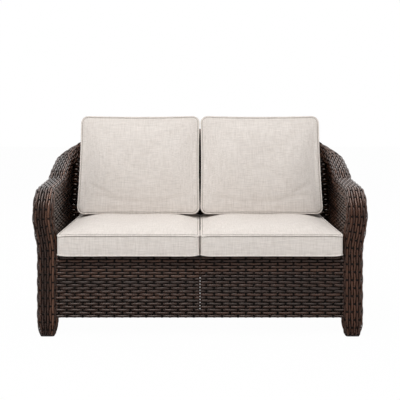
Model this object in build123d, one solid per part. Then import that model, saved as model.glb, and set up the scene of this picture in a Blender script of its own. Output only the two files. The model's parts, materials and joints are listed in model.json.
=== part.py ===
from build123d import *
import os
from math import acos, ceil, cos, degrees, radians, sin, tan

# A two-seat patio loveseat. A welded aluminium tube frame is covered in a woven resin skin: square
# legs that sweep up into flat arms, arms that rise into an arched back, closed sides and a skirt.
# Straps across the seat frame carry two boxed seat cushions, and two back cushions lean on the back.
# Sizes are in millimetres. X runs to the right as seen from the front, Y to the rear, Z up.
# The origin is on the floor, under the middle of the whole outline. Left is the -X side.

fit = 0.3                # seat between two parts that touch

# Route of the arm and back cap, on its centreline, for the +X side
seat_half = 604          # from the middle to the inner face of a front leg
cap_width = 87
cap_thick = 60
cap_corner = 19
front_y = -378           # front face of the legs
rear_y = 400             # rear face of the back cap
arm_top_z = 622          # top of the cap over a front leg
flare = 20               # how far the arms stand out beyond the legs
flare_low_z = 375
flare_high_z = 488
splay_share = 0.06       # how fast the arms open towards the rear
rise_start_y = 30
rise_start_z = 606
rise_end_y = 95
rise_end_z = 640
corner_z = 708
shoulder_in = 59         # from the inner face of a front leg in to the shoulder of the back
shoulder_z = 812
crest_in = 274           # from the inner face of a front leg in to where the crest starts
crest_z = 830
flare_radius = 240
nose_radius = 86
rise_low_radius = 90
rise_high_radius = 140
corner_radius = 104
shoulder_radius = 290
crest_radius = 1100
turn_step = 15           # degrees of turn between two sections
plan_limit_share = 0.5   # below this plan share a direction counts as upright

# Woven skin
skin = 6
strand_rise = 1.6        # from the wall that the strands are woven round to their mean outer face
skin_inset = 3           # the side skins lie this far inside the faces of the cap
skirt_low_z = 80
skirt_inset = 10         # from the front face of the legs to the skirt
back_lean = 15           # degrees
panel_reach = 72         # how far the back panel runs out past the inner face of a front leg

# Legs and feet
foot_width = 66
foot_thick = 42
foot_corner = 13
foot_taper = 50
foot_low_z = 6
pad_inset = 4
plug_depth = 26          # how far a foot plug reaches into a tube
rear_leg_in = 0.5        # how much nearer to the middle a rear leg stands than a front one
rear_leg_ahead = 102     # from the rear face of the back to the middle of a rear leg
rear_leg_size = 62
rear_leg_corner = 24
rear_leg_tip = 44
rear_leg_top_z = 128
rear_post_down = 6       # from the height of the back's corner down to the top of a rear post

# Frame
tube_wall = 2
rail = 25
rail_wall = 2
front_rail_z = 340       # top of the front and rear seat rails
ring_width = 16
ring_height = 20
side_rail_in = 13.5      # from the inner face of a front leg in to the middle of a side rail
side_rail_rear_in = 12   # from the middle of a rear leg in to the end of a side rail
rear_rail_ahead = 0.8    # from the foot of the back panel to the middle of the rear rail
rear_rail_width = 40
upright_width = 30
upright_thick = 8

# Seat straps
strap_width = 45
strap_thick = 2
long_straps = 4          # front to rear, in each seat
cross_straps = 3
cross_first_y = -262
cross_last_y = 110
strap_end = 9            # from a rivet to the end of its strap
rivet_radius = 1.6
rivet_head = 3.4
rivet_head_thick = 0.9
rivet_length = 8

# Cushions
half_gap = 0.4           # from the middle to the welt of a cushion
seat_end_gap = 1.5       # from the inner face of a front leg to the seat cushion's welt
back_end_in = 6          # how much narrower a back cushion is than its seat cushion
seat_front_y = -400.5
seat_rear_gap = 1.8      # from the foot of the back panel to the seat cushion's welt
seat_thick = 92
seat_crown = 25
seat_corner = 14
cushion_lift = 0.4       # between a cushion and what it lies on
side_draw = 5            # how far a side pulls in between its corners
front_draw = 3
back_front_y = 21        # front lower edge of the back cushions
back_sink = 5.7          # how much lower the seat's crown is there than at its top
back_top_z = 933
back_thick = 182.2
back_crown = 34
back_corner = 34
back_rear_draw = 10      # the rear seam is this much smaller all round
cover_wall = 2
core_clear = 0.4
welt_radius = 3.4
welt_proud = 2.2         # how far a welt stands out of the cover
zip_length = 480
zip_height = 7
zip_thick = 2.2
zip_rise_share = 0.5     # height of a seat cushion's zip, as a share of its side
back_zip_up = 78         # from the lower edge of a back cushion's rear face to its zip
slider_length = 14
slider_width = 11
slider_wall = 1.4
slider_clear = 0.4
pull_length = 24
pull_width = 5
pull_thick = 1.2
overrun = 480            # how far a cutting body runs past what it cuts

# Crown of a cushion: how far out, and how much of the outline is left there
crown_rise_shares = (0.0, 0.3, 0.54, 0.77, 0.93, 1.0)
crown_size_shares = (1.0, 0.93, 0.8, 0.6, 0.35, 0.08)
crown_round_share = 0.75

standing = (Align.CENTER, Align.CENTER, Align.MIN)  # how a shape that stands on its place is aligned

# Places along the route, counted in its runs
arm_level_run = 6        # the level run of the arm
shoulder_run = 12        # the first run of the back
inner_run_count = 6      # runs of the inner side skin, before the straight stretch to the back

post_x = seat_half + cap_width / 2
post_y = front_y + cap_thick / 2
arm_z = arm_top_z - cap_thick / 2
back_y = rear_y - cap_width / 2
tip_z = foot_low_z + foot_taper
side_rail_z = front_rail_z + strap_thick
deck_z = side_rail_z + strap_thick
shoulder_x = seat_half - shoulder_in
crest_x = seat_half - crest_in
panel_end_x = seat_half + panel_reach
rear_leg_x = post_x - rear_leg_in
rear_leg_y = rear_y - rear_leg_ahead
rear_post_top_z = corner_z - rear_post_down
side_rail_x = seat_half - side_rail_in
side_rail_rear_x = rear_leg_x - side_rail_rear_in
upright_x = seat_half / 2
seat_end_x = seat_half - seat_end_gap
back_end_x = seat_end_x - back_end_in
skirt_wall_y = front_y + skirt_inset
rail_y = skirt_wall_y + skin + fit + rail / 2
skirt_top_z = front_rail_z - fit
lean = radians(back_lean)


def arm_x(y):
    """Centre of the arm cap at a place along the seat's depth."""
    return post_x + flare + splay_share * (y - post_y)


def runs_of(corners, radii):
    """A route as straight runs and tangent arcs, each a list of points and directions."""
    runs = []
    last = (corners[0], (corners[1] - corners[0]).normalized())
    for before, corner, after, radius in zip(corners, corners[1:], corners[2:], radii):
        way_in = (corner - before).normalized()
        way_out = (after - corner).normalized()
        turn = acos(way_in.dot(way_out))
        inward = way_in.cross(way_out).normalized().cross(way_in)
        start = corner - way_in * (radius * tan(turn / 2))
        steps = max(2, ceil(degrees(turn) / turn_step))
        arc = []
        for step in range(steps + 1):
            angle = turn * step / steps
            point = start + way_in * (radius * sin(angle)) + inward * (radius * (1 - cos(angle)))
            arc.append((point, way_in * cos(angle) + inward * sin(angle)))
        runs.append([last, arc[0]])
        runs.append(arc)
        last = arc[-1]
    runs.append([last, (corners[-1], last[1])])
    return runs


def side_way(way):
    """The direction across the route that points out of the loveseat, level where it can be."""
    plan = Vector(way.X, way.Y, 0)
    if plan.length < plan_limit_share:
        return (Vector(1, 0, 0) - way * way.X).normalized()
    plan = plan.normalized()
    return Vector(plan.Y, -plan.X, 0)


def follow(runs, profile):
    """Carries a profile along a route, its x axis across the route and level."""
    body = None
    for run in runs:
        sections = [Plane(origin=point, x_dir=side_way(way), z_dir=way) * profile for point, way in run]
        piece = loft(sections, ruled=len(run) == 2)
        body = piece if body is None else body + piece
    return body


def cap_profile(inset=0):
    """Section of the cap, or of the room inside its skin."""
    return RectangleRounded(cap_width - 2 * inset, cap_thick - 2 * inset, cap_corner - inset)


def tip(x, y, low, high, low_corner, high_corner, inset=0):
    """The tapered end of a leg. low and high are its sizes at the floor end and at the top."""
    floor_end = RectangleRounded(low[0] - 2 * inset, low[1] - 2 * inset, low_corner - inset)
    top_end = RectangleRounded(high[0] - 2 * inset, high[1] - 2 * inset, high_corner - inset)
    return loft([Pos(x, y, foot_low_z) * floor_end, Pos(x, y, tip_z) * top_end], ruled=True)


def wall(runs, section):
    """A thin wall below the route. section gives its upright section as offsets and heights."""
    body = None
    for run in runs:
        sections = []
        for point, way in run:
            side = side_way(way)
            foot = Vector(point.X, point.Y, 0)
            corners = [foot + side * s + Vector(0, 0, z) for s, z in section(point.Z)]
            sections.append(make_face(Polyline(*corners, close=True)))
        piece = loft(sections, ruled=len(run) == 2)
        body = piece if body is None else body + piece
    return body


def skin_section(wall_face, low_z, inward):
    """Upright section of a side skin, straight below the flare and above it."""
    face = wall_face - inward * strand_rise
    back = wall_face + inward * skin

    def section(top_z):
        return [
            (face - flare, low_z),
            (face - flare, flare_low_z),
            (face, flare_high_z),
            (face, top_z),
            (back, top_z),
            (back, flare_high_z),
            (back - flare, flare_low_z),
            (back - flare, low_z),
        ]

    return section


def bar(start, end, wide, tall, hollow=0):
    """A straight rail between two points on its top face."""
    start = Vector(*start)
    end = Vector(*end)
    way = (end - start).normalized()
    level = Vector(way.Y, -way.X, 0).normalized()
    profile = Rectangle(wide - 2 * hollow, tall - 2 * hollow)
    place = Plane(origin=start - Vector(0, 0, tall / 2), x_dir=level, z_dir=way)
    return extrude(place * profile, amount=(end - start).length)


def other_side(shape):
    """The same piece on the -X side."""
    return mirror(shape, about=Plane.YZ)


def group(pieces):
    """Separate pieces kept in one node, none of them fused."""
    return Compound(children=[solid for piece in pieces for solid in piece.solids()])


def largest(shape):
    """The main solid of a trimmed shape."""
    return max(shape.solids(), key=lambda solid: solid.volume)


def save(name, shape):
    """Writes one node."""
    shape.label = name
    export_step(shape, f"parts/{name}.step")


def save_pair(name, shape):
    """Writes a piece and its mirror image."""
    save(f"{name}_right", shape)
    save(f"{name}_left", other_side(shape))


os.makedirs("parts", exist_ok=True)

# The route of the cap, and the plan route of the seat frame's lower ring
route = runs_of(
    [
        Vector(post_x, post_y, tip_z),
        Vector(post_x, post_y, flare_low_z),
        Vector(post_x + flare, post_y, flare_high_z),
        Vector(arm_x(post_y), post_y, arm_z),
        Vector(arm_x(rise_start_y), rise_start_y, rise_start_z),
        Vector(arm_x(rise_end_y), rise_end_y, rise_end_z),
        Vector(arm_x(back_y), back_y, corner_z),
        Vector(shoulder_x, back_y, shoulder_z),
        Vector(crest_x, back_y, crest_z),
        Vector(0, back_y, crest_z),
    ],
    [
        flare_radius,
        flare_radius,
        nose_radius,
        rise_low_radius,
        rise_high_radius,
        corner_radius,
        shoulder_radius,
        crest_radius,
    ],
)
arm_runs = route[:shoulder_run]
half_back = route[shoulder_run:]


def mirrored_run(run):
    """The same run on the -X side, followed the same way along the back."""
    places = []
    for point, way in reversed(run):
        places.append((Vector(-point.X, point.Y, point.Z), Vector(way.X, way.Y, -way.Z)))
    return places


back_runs = half_back + [mirrored_run(run) for run in reversed(half_back)]

leg_size = (cap_width, cap_thick)
leg_tip = (foot_width, foot_thick)


def front_tip(inset=0):
    """The tapered end of a front leg, or the room inside it."""
    return tip(post_x, post_y, leg_tip, leg_size, foot_corner, cap_corner, inset)


arm_body = follow(arm_runs, cap_profile()) + front_tip()
arm_room = follow(arm_runs, cap_profile(skin)) + front_tip(skin)
back_body = follow(back_runs, cap_profile())
back_room = follow(back_runs, cap_profile(skin))

# Two tubes side by side under the upper face of the cap
tube_radius = cap_corner - skin - fit
tube_side = cap_width / 2 - cap_corner
tube_up = cap_thick / 2 - cap_corner


def tube_pair(runs):
    """The outer and inner tube of a stretch of cap, as solid rods and as tubes."""
    rods = []
    tubes = []
    for side in (tube_side, -tube_side):
        rod = follow(runs, Pos(side, -tube_up) * Circle(tube_radius))
        bore = follow(runs, Pos(side, -tube_up) * Circle(tube_radius - tube_wall))
        rods.append(rod)
        tubes.append(rod - bore)
    return rods, tubes


arm_rods, arm_tubes = tube_pair(arm_runs)
back_rods, back_tubes = tube_pair(back_runs)

# Plan route of the side and rear skins, from a front leg to the middle of the back
wall_start = Vector(arm_x(post_y), post_y - tube_up, arm_z)
level_start = arm_runs[arm_level_run][0]
wall_runs = [[(wall_start, level_start[1]), level_start]] + arm_runs[arm_level_run:]

# Lower ring, seat rails and rear posts
ring_face = cap_width / 2 - skin_inset - flare - skin - fit


def ring(grow=0):
    """The ring that holds the lower edge of the skins, round the sides and the rear."""
    section = [
        (ring_face + grow, skirt_low_z - grow),
        (ring_face + grow, skirt_low_z + ring_height + grow),
        (ring_face - ring_width - grow, skirt_low_z + ring_height + grow),
        (ring_face - ring_width - grow, skirt_low_z - grow),
    ]
    side = wall(wall_runs, lambda top_z: section)
    return side + other_side(side) + wall(back_runs, lambda top_z: section)


ring_body = ring()
ring_hole = ring(fit)
ring_bore = ring(-rail_wall)

rods_right = arm_rods[0] + arm_rods[1]
rods_left = other_side(rods_right)
rod_x = post_x - tube_side


def front_bar(top_z, wide=rail, hollow=0):
    """A rail across the front, between the tubes of both front legs."""
    return bar((-rod_x, rail_y, top_z), (rod_x, rail_y, top_z), wide, rail, hollow)


def front_hole(top_z):
    """The opening that a front rail needs in a leg's skin."""
    return bar((0, rail_y, top_z + fit), (rod_x, rail_y, top_z + fit), rail + 2 * fit, rail + 2 * fit)


skirt_rail_z = skirt_low_z + rail
seat_front = front_bar(front_rail_z) - rods_right - rods_left - front_bar(front_rail_z, hollow=rail_wall)
skirt_front = front_bar(skirt_rail_z) - rods_right - rods_left - front_bar(skirt_rail_z, hollow=rail_wall)
deck_front_y = rail_y + rail / 2

# The leaning back panel, a ruled skin from the seat to the underside of the cap
panel_top_y = rear_y - cap_width + skin_inset
panel_top_z = crest_z - cap_thick / 2
panel_low_z = front_rail_z + fit


panel_low_y = panel_top_y - (panel_top_z - panel_low_z) * tan(lean)
rear_rail_y = panel_low_y - rear_rail_ahead
seat_rear_y = panel_low_y - seat_rear_gap


def panel_y(z, top_z=panel_top_z):
    """Front face of the back panel at a height."""
    return panel_low_y + (panel_top_y - panel_low_y) * (z - panel_low_z) / (top_z - panel_low_z)


def panel_body(forward, behind):
    """The back panel between its front face moved forward and its front face moved back."""
    stops = [(panel_end_x, corner_z)] + [(run[0][0].X, run[0][0].Z) for run in half_back]
    stops = stops + [(run[-1][0].X, run[-1][0].Z) for run in half_back[-1:]]
    body = None
    for (x, z), (next_x, next_z) in zip(stops, stops[1:]):
        sections = []
        for at, top in ((x, z), (next_x, next_z)):
            corners = [
                Vector(at, panel_low_y - forward, panel_low_z),
                Vector(at, panel_y(top, top - cap_thick / 2) - forward, top),
                Vector(at, panel_y(top, top - cap_thick / 2) + behind, top),
                Vector(at, panel_low_y + behind, panel_low_z),
            ]
            sections.append(make_face(Polyline(*corners, close=True)))
        piece = loft(sections, ruled=True)
        body = piece if body is None else body + piece
    return body + other_side(body)


panel = panel_body(0, skin / cos(lean))
in_front = panel_body(overrun, skin / cos(lean) + fit)
behind = panel_body(0, overrun)

cap_bodies = back_body + arm_body + other_side(arm_body)

rear_post_size = rear_leg_size - 2 * skin - 2 * fit
rear_post_corner = rear_leg_corner - skin - fit


def rear_post(inset=0):
    """The rear leg's upright, from the foot to the cap."""
    size = rear_post_size - 2 * inset
    profile = RectangleRounded(size, size, rear_post_corner - inset)
    return extrude(Pos(rear_leg_x, rear_leg_y, tip_z) * profile, amount=rear_post_top_z - tip_z)


post = largest(rear_post() - rear_post(rail_wall) - in_front - arm_body - back_body)

side_bar_start = (side_rail_x, deck_front_y, side_rail_z)
side_bar_end = (side_rail_rear_x, rear_leg_y, side_rail_z)
side_body = bar(side_bar_start, side_bar_end, rail, rail) - rear_post() - front_bar(front_rail_z)
side_rail = side_body - bar(side_bar_start, side_bar_end, rail - 2 * rail_wall, rail - 2 * rail_wall)


def rear_bar(hollow=0):
    """The rear seat rail, from one side rail to the other."""
    reach = side_rail_rear_x
    start = (-reach, rear_rail_y, front_rail_z)
    end = (reach, rear_rail_y, front_rail_z)
    return bar(start, end, rear_rail_width, rail, hollow)


seat_rear = largest(rear_bar() - side_body - other_side(side_body) - rear_bar(rail_wall))
deck_rear_y = rear_rail_y - rear_rail_width / 2
centre_start = (0, deck_front_y, side_rail_z)
centre_end = (0, deck_rear_y, side_rail_z)
seat_centre = bar(centre_start, centre_end, rail, rail) - bar(centre_start, centre_end, rail, rail, rail_wall)

# Two flat uprights behind the back panel, from the rear seat rail to the cap
upright_low_y = panel_y(front_rail_z) + skin / cos(lean) + fit
upright_high_y = panel_y(crest_z) + skin / cos(lean) + fit
upright_shape = Polyline(
    Vector(upright_x - upright_width / 2, upright_low_y, front_rail_z),
    Vector(upright_x - upright_width / 2, upright_high_y, crest_z),
    Vector(upright_x - upright_width / 2, upright_high_y + upright_thick, crest_z),
    Vector(upright_x - upright_width / 2, upright_low_y + upright_thick, front_rail_z),
    close=True,
)
upright = extrude(make_face(upright_shape), amount=upright_width, dir=(1, 0, 0))
upright = largest(upright - back_body - panel)

# Woven skins
inner_back = largest(panel - cap_bodies - side_body - other_side(side_body))
front_holes = front_hole(front_rail_z) + front_hole(skirt_rail_z)
arm_wrap = largest(arm_body - arm_room - front_holes - ring_hole)
back_wrap = back_body - back_room

skin_face = cap_width / 2 - skin_inset
side_skin = wall(wall_runs, skin_section(skin_face, skirt_low_z, -1))
side_skin = largest(side_skin - arm_body - back_body)
rear_skin = largest(wall(back_runs, skin_section(skin_face, skirt_low_z, -1)) - cap_bodies)

inner_end = Vector(arm_x(panel_top_y), panel_top_y, corner_z)
inner_runs = wall_runs[:inner_run_count]
last_place, last_way = inner_runs[-1][-1]
inner_runs.append([(last_place, last_way), (inner_end, last_way)])
inner_skin = wall(inner_runs, skin_section(-skin_face, side_rail_z + fit, 1))
inner_skin = largest(inner_skin - arm_body - back_body - behind)

skirt_height = skirt_top_z - skirt_low_z
skirt_box = Box(seat_half, skin + strand_rise, skirt_height, align=(Align.MIN, Align.MIN, Align.MIN))
skirt = Pos(0, skirt_wall_y - strand_rise, skirt_low_z) * skirt_box - arm_body

rear_high = RectangleRounded(rear_leg_size, rear_leg_size, rear_leg_corner)
rear_inside = RectangleRounded(rear_leg_size - 2 * skin, rear_leg_size - 2 * skin, rear_leg_corner - skin)
leg_high = (rear_leg_size, rear_leg_size)
leg_low = (rear_leg_tip, rear_leg_tip)
rear_ring = Pos(rear_leg_x, rear_leg_y, tip_z) * (rear_high - rear_inside)


def rear_tip(inset=0):
    """The tapered end of a rear leg, or the room inside it."""
    return tip(rear_leg_x, rear_leg_y, leg_low, leg_high, foot_corner, rear_leg_corner, inset)


rear_wrap = extrude(rear_ring, amount=rear_leg_top_z - tip_z) + rear_tip() - rear_tip(skin)

# Feet: a tapered plug in each leg and a glide pad under it
front_plug = front_tip(skin + fit)
for side in (tube_side, -tube_side):
    spigot = Cylinder(tube_radius - tube_wall - fit, plug_depth, align=standing)
    front_plug += Pos(post_x + side, post_y - tube_up, tip_z) * spigot
rear_spigot_size = rear_post_size - 2 * rail_wall - 2 * fit
rear_spigot = RectangleRounded(rear_spigot_size, rear_spigot_size, rear_post_corner - rail_wall - fit)
rear_spigot = extrude(Pos(rear_leg_x, rear_leg_y, tip_z) * rear_spigot, amount=plug_depth)
rear_plug = rear_tip(skin + fit) + rear_spigot


def glide(x, y, size):
    """A pad that stands on the floor."""
    profile = RectangleRounded(size[0] - 2 * pad_inset, size[1] - 2 * pad_inset, foot_corner - pad_inset)
    return extrude(Pos(x, y) * profile, amount=foot_low_z)


front_glide = glide(post_x, post_y, leg_tip)
rear_glide = glide(rear_leg_x, rear_leg_y, leg_low)


# Seat straps, riveted to the rails
def side_rail_at(y):
    """Centre of a side seat rail at a place along its length."""
    slope = (side_rail_rear_x - side_rail_x) / (rear_leg_y - deck_front_y)
    return side_rail_x + slope * (y - deck_front_y)


span = side_rail_x - rail / 2
strap_x = [span * (index + 0.5) / long_straps for index in range(long_straps)]
strap_x = [-x for x in reversed(strap_x)] + strap_x
strap_gap = (cross_last_y - cross_first_y) / (cross_straps - 1)
strap_y = [cross_first_y + strap_gap * index for index in range(cross_straps)]
rear_rivet_y = deck_rear_y + strap_end + rivet_head / 2
long_rivets = [(x, y, side_rail_z) for x in strap_x for y in (rail_y, rear_rivet_y)]
cross_rivets = [(side * side_rail_at(y), y, deck_z) for y in strap_y for side in (1, -1)]


def rivets(places, grow=0):
    """Rivets with their heads on the straps."""
    shank = Cylinder(rivet_radius + grow, rivet_length, align=(Align.CENTER, Align.CENTER, Align.MAX))
    head = Cylinder(rivet_head, rivet_head_thick, align=standing)
    return [Pos(*place) * (shank + head) for place in places]


long_holes = Compound(children=rivets(long_rivets, fit))
cross_holes = Compound(children=rivets(cross_rivets, fit))
low_align = (Align.CENTER, Align.MIN, Align.MIN)
long_length = rear_rivet_y - rail_y + 2 * strap_end
long_strap = Box(strap_width, long_length, strap_thick, align=low_align)
long_set = [Pos(x, rail_y - strap_end, front_rail_z) * long_strap - long_holes for x in strap_x]
cross_set = []
for y in strap_y:
    length = 2 * (side_rail_at(y) + strap_end)
    strap = Box(length, strap_width, strap_thick, align=standing)
    cross_set.append(Pos(0, y, side_rail_z) * strap - cross_holes)
seat_front -= long_holes
seat_rear -= long_holes
side_rail -= cross_holes


def outline(width, height, corner, low_draw, side_draws, high_draw):
    """A cushion's outline: rounded corners, and sides that pull in between them."""
    x = width / 2
    y = height / 2
    low = ThreePointArc((-x, -y), (0, low_draw - y), (x, -y))
    right = ThreePointArc((x, -y), (x - side_draws, 0), (x, y))
    left = ThreePointArc((-x, y), (side_draws - x, 0), (-x, -y))
    high = ThreePointArc((x, y), (0, y - high_draw), (-x, y)) if high_draw else Line((x, y), (-x, y))
    face = make_face([low, right, high, left])
    return fillet(face.vertices(), corner)


def crown(shape_at, height):
    """A crowned face: ever smaller outlines, ever further out."""
    levels = zip(crown_rise_shares, crown_size_shares)
    return loft([Pos(0, 0, height * rise) * shape_at(size) for rise, size in levels])


# Both cushions: their welts lie in a groove at each seam
welt_band = 2 * welt_radius + 2 * fit
groove = 2 * welt_radius + fit - welt_proud
welt_inset = welt_radius - welt_proud
welt_level = welt_radius + fit


def crown_corner(corner, width, height, share):
    """Corner radius of a crown's outline, rounder the further up it is."""
    return share * (corner + (1 - share) * crown_round_share * min(width, height) / 2)


def welt(face):
    """A corded seam along an outline."""
    path = face.wire()
    return sweep(Plane(origin=path @ 0, z_dir=path % 0) * Circle(welt_radius), path=path)


# Seat cushion, in its own frame: x across, y to the rear, z up from its underside
seat_width = seat_end_x - half_gap - 2 * welt_proud
seat_depth = seat_rear_y - seat_front_y - 2 * welt_proud
seat_low_z = deck_z + rivet_head_thick + fit
seat_place = Pos((seat_end_x + half_gap) / 2, (seat_rear_y + seat_front_y) / 2, seat_low_z)


def seat_outline(inset=0, share=1):
    """Outline of a seat cushion, drawn in on three sides and straight at the zip."""
    width = seat_width - 2 * inset
    depth = seat_depth - 2 * inset
    corner = crown_corner(seat_corner - inset, width, depth, share)
    return outline(width * share, depth * share, corner, front_draw * share, side_draw * share, 0)


def seat_block(inset):
    """A seat cushion inside its welts, or what is inside a wall of it."""
    side = extrude(Pos(0, 0, inset - groove) * seat_outline(inset), amount=seat_thick - inset + groove)
    top = crown(lambda share: seat_outline(inset, share), seat_crown - inset + groove)
    return side + Pos(0, 0, seat_thick) * top


seat_middle = extrude(Pos(0, 0, welt_band) * seat_outline(), amount=seat_thick - 2 * welt_band)
seat_cover = seat_place * (seat_block(groove) + seat_middle - seat_block(groove + cover_wall))
seat_core = seat_place * seat_block(groove + cover_wall + core_clear)
seat_cord = welt(seat_outline(welt_inset))
seat_welts = [seat_place * Pos(0, 0, level) * seat_cord for level in (welt_level, seat_thick - welt_level)]

# Back cushion, in its own frame: x across, y up the lean, z to the front from its front seam
back_low_z = seat_low_z + seat_thick + seat_crown - back_sink + cushion_lift
back_place = Plane(
    origin=((back_end_x + half_gap) / 2, back_front_y, back_low_z + welt_proud),
    x_dir=(1, 0, 0),
    z_dir=(0, -cos(lean), sin(lean)),
)
back_wide = back_end_x - half_gap - 2 * welt_proud
back_tall = (back_top_z - back_low_z - welt_proud) / cos(lean) - welt_proud


def back_outline(depth, inset=0, share=1):
    """Outline of a back cushion at a depth behind its front seam, its lower edge kept level."""
    draw = back_rear_draw * depth / back_thick
    low = depth * tan(lean) + draw + inset
    high = back_tall - draw - inset
    wide = back_wide - 2 * draw - 2 * inset
    tall = high - low
    corner = crown_corner(back_corner - inset, wide, tall, share)
    low_draw = front_draw * share
    face = outline(wide * share, tall * share, corner, low_draw, side_draw * share, side_draw * share)
    return Pos(0, (low + high) / 2, 0) * face


def back_slab(near, far, inset=0):
    """The cushion between two depths behind its front seam."""
    far_face = Pos(0, 0, -far) * back_outline(far, inset)
    near_face = Pos(0, 0, -near) * back_outline(near, inset)
    return loft([far_face, near_face], ruled=True)


def back_block(inset):
    """A back cushion inside its welts, or what is inside a wall of it."""
    top = crown(lambda share: back_outline(0, inset, share), back_crown - inset + groove)
    return back_slab(0, back_thick - inset + groove, inset) + top


back_middle = back_slab(welt_band, back_thick - welt_band)
back_cover = back_place * (back_block(groove) + back_middle - back_block(groove + cover_wall))
back_core = back_place * back_block(groove + cover_wall + core_clear)
back_welts = [
    back_place * Pos(0, 0, -level) * welt(back_outline(level, welt_inset))
    for level in (welt_level, back_thick - welt_level)
]


# Zips, in a frame on the cushion's rear face: x along the zip, y up, z out of the face
def zip_chain():
    """The closed teeth and tape, flat on the cover."""
    return Box(zip_length, zip_height, zip_thick, align=standing)


def zip_slider():
    """The slider over the teeth at the outer end, with its pull hanging down."""
    top = zip_thick + slider_clear + slider_wall
    across = (Align.MAX, Align.CENTER, Align.MIN)
    body = Pos(0, 0, fit) * Box(slider_length, slider_width, top - fit, align=across)
    body -= Box(slider_length, zip_height + 2 * slider_clear, zip_thick + slider_clear, align=across)
    pull = Box(pull_width, pull_length, pull_thick, align=(Align.CENTER, Align.MAX, Align.MIN))
    return Pos(zip_length / 2, 0, 0) * (body + Pos(-slider_length / 2, 0, top - fit) * pull)


seat_zip = Plane(
    origin=((seat_end_x + half_gap) / 2, seat_rear_y - welt_proud, seat_low_z + seat_thick * zip_rise_share),
    x_dir=(-1, 0, 0),
    z_dir=(0, 1, 0),
)
rear_low = back_thick * tan(lean) + back_rear_draw + back_zip_up
back_zip_at = back_place * Pos(0, rear_low, -back_thick)
back_zip = Plane(origin=back_zip_at.position, x_dir=(-1, 0, 0), z_dir=(0, cos(lean), -sin(lean)))

save_pair("arm_tube_outer", arm_tubes[0])
save_pair("arm_tube_inner", arm_tubes[1])
save("back_tube_rear", back_tubes[0])
save("back_tube_front", back_tubes[1])
save("seat_rail_front", seat_front)
save("seat_rail_rear", seat_rear)
save("seat_rail_centre", seat_centre)
save_pair("seat_rail", side_rail)
save("skirt_rail_front", skirt_front)
save("skirt_ring", largest(ring_body - ring_bore - rods_right - rods_left))
save_pair("rear_post", post)
save("back_uprights", group([upright, other_side(upright)]))
save_pair("arm_wrap", arm_wrap)
save("back_wrap", back_wrap)
save_pair("side_skin", side_skin)
save("rear_skin", rear_skin)
save_pair("inner_skin", inner_skin)
save("inner_back", inner_back)
save_pair("skirt", skirt)
save_pair("rear_leg_wrap", rear_wrap)
save_pair("foot_plug_front", front_plug)
save_pair("foot_plug_rear", rear_plug)
save("glides_front", group([front_glide, other_side(front_glide)]))
save("glides_rear", group([rear_glide, other_side(rear_glide)]))
save("straps_long", group(long_set))
save("straps_cross", group(cross_set))
save("rivets", group(rivets(long_rivets + cross_rivets)))
save_pair("seat_cover", seat_cover)
save_pair("seat_core", seat_core)
save_pair("seat_welts", group(seat_welts))
save_pair("seat_zip", seat_zip * zip_chain())
save_pair("seat_slider", seat_zip * mirror(zip_slider(), about=Plane.YZ))
save_pair("back_cover", back_cover)
save_pair("back_core", back_core)
save_pair("back_welts", group(back_welts))
save_pair("back_zip", back_zip * zip_chain())
save_pair("back_slider", back_zip * mirror(zip_slider(), about=Plane.YZ))
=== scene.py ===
import json
from math import acos, cos, exp, hypot, pi, radians, sin, tan

import bmesh
import bpy
from mathutils import Matrix, Vector


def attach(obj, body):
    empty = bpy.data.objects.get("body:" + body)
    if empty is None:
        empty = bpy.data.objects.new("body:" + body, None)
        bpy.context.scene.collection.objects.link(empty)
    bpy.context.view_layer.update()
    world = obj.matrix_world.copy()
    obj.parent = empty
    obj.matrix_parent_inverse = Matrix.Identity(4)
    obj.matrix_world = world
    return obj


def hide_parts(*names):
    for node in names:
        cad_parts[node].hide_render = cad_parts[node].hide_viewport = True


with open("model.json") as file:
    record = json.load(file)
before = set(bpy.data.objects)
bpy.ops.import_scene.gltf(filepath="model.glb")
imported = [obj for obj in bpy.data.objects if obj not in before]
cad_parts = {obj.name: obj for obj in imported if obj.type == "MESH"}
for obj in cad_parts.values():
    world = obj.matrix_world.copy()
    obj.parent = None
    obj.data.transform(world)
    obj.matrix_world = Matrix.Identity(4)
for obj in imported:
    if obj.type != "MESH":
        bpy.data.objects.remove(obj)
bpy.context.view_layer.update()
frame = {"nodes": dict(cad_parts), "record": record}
nodes = frame["nodes"]

# Sizes of the woven frame, in metres
seat_half = 0.604
cap_width = 0.087
cap_thick = 0.060
cap_corner = 0.019
front_y = -0.378
rear_y = 0.400
arm_top_z = 0.622
flare = 0.020
flare_low_z = 0.375
flare_high_z = 0.488
splay = 0.06
rise_start_y = 0.030
rise_start_z = 0.606
rise_end_y = 0.095
rise_end_z = 0.640
corner_z = 0.708
shoulder_x = 0.545
shoulder_z = 0.812
crest_x = 0.330
crest_z = 0.830
bend_radii = (0.240, 0.240, 0.086, 0.090, 0.140, 0.104, 0.290, 1.100)
skin_inset = 0.003
strand_rise = 0.0016
skirt_low_z = 0.080
skirt_top_z = 0.3397
skirt_y = -0.3696
foot_low_z = 0.006
foot_taper = 0.050
foot_width = 0.066
foot_thick = 0.042
foot_corner = 0.013
rear_leg_x = 0.647
rear_leg_y = 0.298
rear_leg_size = 0.062
rear_leg_tip = 0.044
rear_leg_corner = 0.024
rear_leg_top_z = 0.128
inner_low_z = 0.3423
panel_low_z = 0.3403
panel_end_x = 0.670
panel_overlap = 0.1
skin_tuck = 0.012
corner_reach = 0.030
wall_search_start = 0.3
wall_search_step = 0.001
arm_line_short = 0.15
arm_line_step = 0.002
panel_line_step = 0.004
plan_samples = 1000
back_lean = radians(15)

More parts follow.
